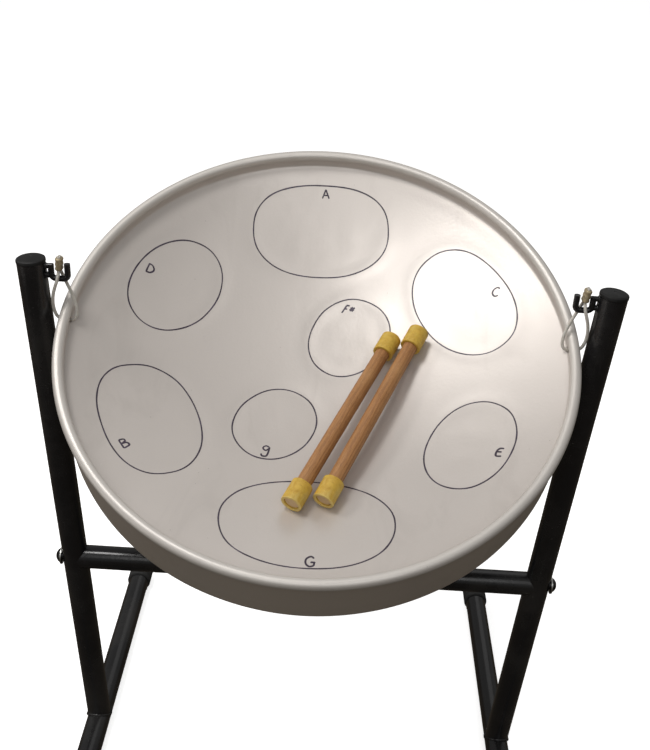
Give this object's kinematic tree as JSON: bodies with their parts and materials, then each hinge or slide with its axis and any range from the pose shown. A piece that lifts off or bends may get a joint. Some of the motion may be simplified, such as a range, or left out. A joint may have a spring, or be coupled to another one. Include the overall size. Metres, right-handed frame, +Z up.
{
  "type": "steel pan on stand",
  "caption": "Shallow round steel pan with a short skirt, hung by two cord loops from a black tube stand, with two wooden mallets in its bowl.",
  "frame": {"origin": "on the floor, midway between the two posts, in the posts' plane", "axes": "+Z up, -Y towards the player, +X to the player's right"},
  "size_m": [0.4686, 0.446, 0.5488],
  "materials": {
    "bowl_silver": "satin silver powder coat with ink lines round the notes",
    "skirt_silver": "satin silver powder coat",
    "rim_silver": "satin silver powder coat",
    "black_paint": "gloss black enamel",
    "hook_paint": "black enamel, chipped at the bends",
    "cap_plastic": "moulded black plastic",
    "insert_plastic": "moulded black plastic",
    "bolt_steel": "black oxide",
    "washer_steel": "zinc plated",
    "foot_rubber": "matt black rubber",
    "coated_cord": "milky plastic coating over a twisted core",
    "crimp_metal": "pressed ferrule, dull beige",
    "stick_wood": "oiled hardwood dowel",
    "tip_rubber": "mustard rubber tube"
  },
  "bodies": {
    "stand": {"left_post": "black_paint", "right_post": "black_paint", "left_post_cap": "cap_plastic", "right_post_cap": "cap_plastic", "left_hook": "hook_paint", "right_hook": "hook_paint", "cross_bar": "black_paint", "cross_bar_inserts": "insert_plastic", "cross_bar_bolts": "bolt_steel", "cross_bar_washers": "washer_steel", "left_foot_bar": "black_paint", "right_foot_bar": "black_paint", "left_front_foot": "foot_rubber", "left_rear_foot": "foot_rubber", "right_front_foot": "foot_rubber", "right_rear_foot": "foot_rubber"},
    "left_loop": {"left_cord_loop": "coated_cord", "left_crimp": "crimp_metal"},
    "right_loop": {"right_cord_loop": "coated_cord", "right_crimp": "crimp_metal"},
    "pan": {"playing_bowl": "bowl_silver", "skirt": "skirt_silver", "rolled_rim": "rim_silver"},
    "left_mallet": {"left_mallet_stick": "stick_wood", "left_mallet_front_tip": "tip_rubber", "left_mallet_back_tip": "tip_rubber"},
    "right_mallet": {"right_mallet_stick": "stick_wood", "right_mallet_front_tip": "tip_rubber", "right_mallet_back_tip": "tip_rubber"}
  },
  "joints": [
    {"name": "left_loop_swing", "type": "hinge", "parent": "stand", "child": "left_loop", "pos_m": [-0.2015, 0, 0.4845], "axis": [1, 0, 0], "range_deg": [-12, 12]},
    {"name": "right_loop_swing", "type": "hinge", "parent": "stand", "child": "right_loop", "pos_m": [0.2015, 0, 0.4845], "axis": [1, 0, 0], "range_deg": [-12, 12]},
    {"name": "pan_swing", "type": "hinge", "parent": "left_loop", "child": "pan", "pos_m": [-0.1985, 0, 0.45], "axis": [1, 0, 0], "range_deg": [-18, 18]},
    {"name": "left_mallet_lift", "type": "slide", "parent": "pan", "child": "left_mallet", "axis": [0, -0.4695, 0.8829], "range_m": [0, 0.15]},
    {"name": "right_mallet_lift", "type": "slide", "parent": "pan", "child": "right_mallet", "axis": [0, -0.4695, 0.8829], "range_m": [0, 0.15]}
  ],
  "couplings": [
    {"joint": "right_loop_swing", "follows": "left_loop_swing", "ratio": 1}
  ]
}
